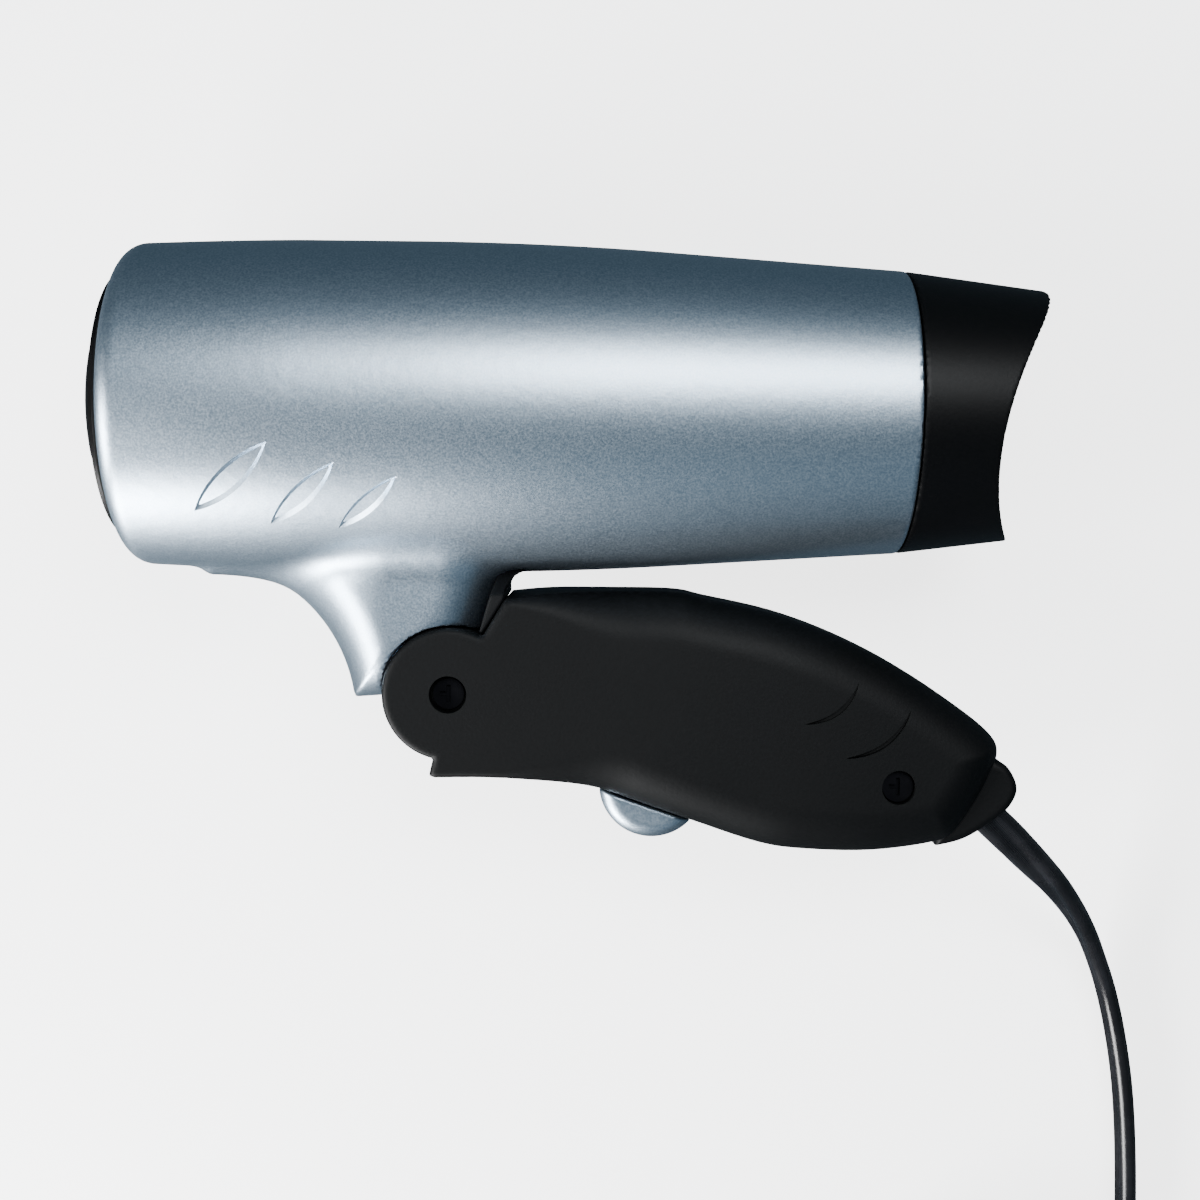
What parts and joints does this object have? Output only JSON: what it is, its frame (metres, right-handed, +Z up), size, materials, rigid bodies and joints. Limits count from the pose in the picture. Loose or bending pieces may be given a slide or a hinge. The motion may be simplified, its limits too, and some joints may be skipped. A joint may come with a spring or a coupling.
{
  "type": "hair dryer",
  "caption": "Folding travel hair dryer with a round tapered barrel, scooped concentrator nozzle, folded handle with a slide switch, and a coiled flat mains cord.",
  "frame": {"origin": "centre of the dryer's own box at the height of the table it lies on, cord left out", "axes": "+X along the barrel towards the nozzle, +Y from the folded handle to the barrel, +Z up from the table, across the dryer's thickness"},
  "size_m": [0.2208, 0.3094, 0.0648],
  "materials": {
    "silver_paint": "satin silver-blue paint on plastic",
    "black_plastic": "fine matt black moulding",
    "nozzle_black": "satin black moulding",
    "white_plastic": "plain heat-proof moulding",
    "steel": "machined steel",
    "screw_steel": "blackened steel",
    "brass": "bright contact metal",
    "board": "circuit board",
    "mica": "mica sheet",
    "heat_wire": "resistance wire",
    "ceramic": "ceramic",
    "cord_pvc": "soft black insulation",
    "wire_blue": "coloured insulation",
    "screen": "fine mesh"
  },
  "bodies": {
    "barrel": {"barrel_shell_right": "silver_paint", "barrel_shell_left": "silver_paint", "neck_cover": "black_plastic", "intake_grille": "black_plastic", "filter_screen": "screen", "fan_duct": "white_plastic", "motor": "steel", "rectifier_board": "board", "heater_frame": "mica", "heater_coil": "heat_wire", "heater_liner": "mica", "thermostat": "steel", "thermal_fuse": "ceramic", "outlet_collar": "nozzle_black"},
    "fan": {"motor_shaft": "steel", "fan_impeller": "black_plastic"},
    "nozzle": {"concentrator": "nozzle_black"},
    "handle": {"hinge_sleeve": "steel", "hinge_screw": "screw_steel", "hinge_washers": "white_plastic", "handle_shell_right": "black_plastic", "handle_shell_left": "black_plastic", "handle_screw": "screw_steel", "switch_body": "white_plastic", "lead_wires": "wire_blue", "cord_bushing": "black_plastic", "cord_run": "cord_pvc", "cord_coil": "cord_pvc", "cord_tail": "cord_pvc", "cord_tie": "cord_pvc", "plug_body": "cord_pvc", "plug_blades": "brass"},
    "switch": {"switch_slider": "white_plastic", "switch_knob": "silver_paint"}
  },
  "joints": [
    {"name": "handle_fold", "type": "hinge", "parent": "barrel", "child": "handle", "pos_m": [-0.022, -0.02823, 0.0324], "axis": [0, 0, -1], "range_deg": [0, 70]},
    {"name": "nozzle_turn", "type": "hinge", "parent": "barrel", "child": "nozzle", "pos_m": [0.07, 0.027, 0.0324], "axis": [1, 0, 0], "continuous": true},
    {"name": "fan_spin", "type": "hinge", "parent": "barrel", "child": "fan", "pos_m": [-0.06, 0.027, 0.0324], "axis": [1, 0, 0], "continuous": true},
    {"name": "switch_slide", "type": "slide", "parent": "handle", "child": "switch", "axis": [0.9489, -0.3156, 0], "range_m": [-0.004, 0.004]}
  ]
}
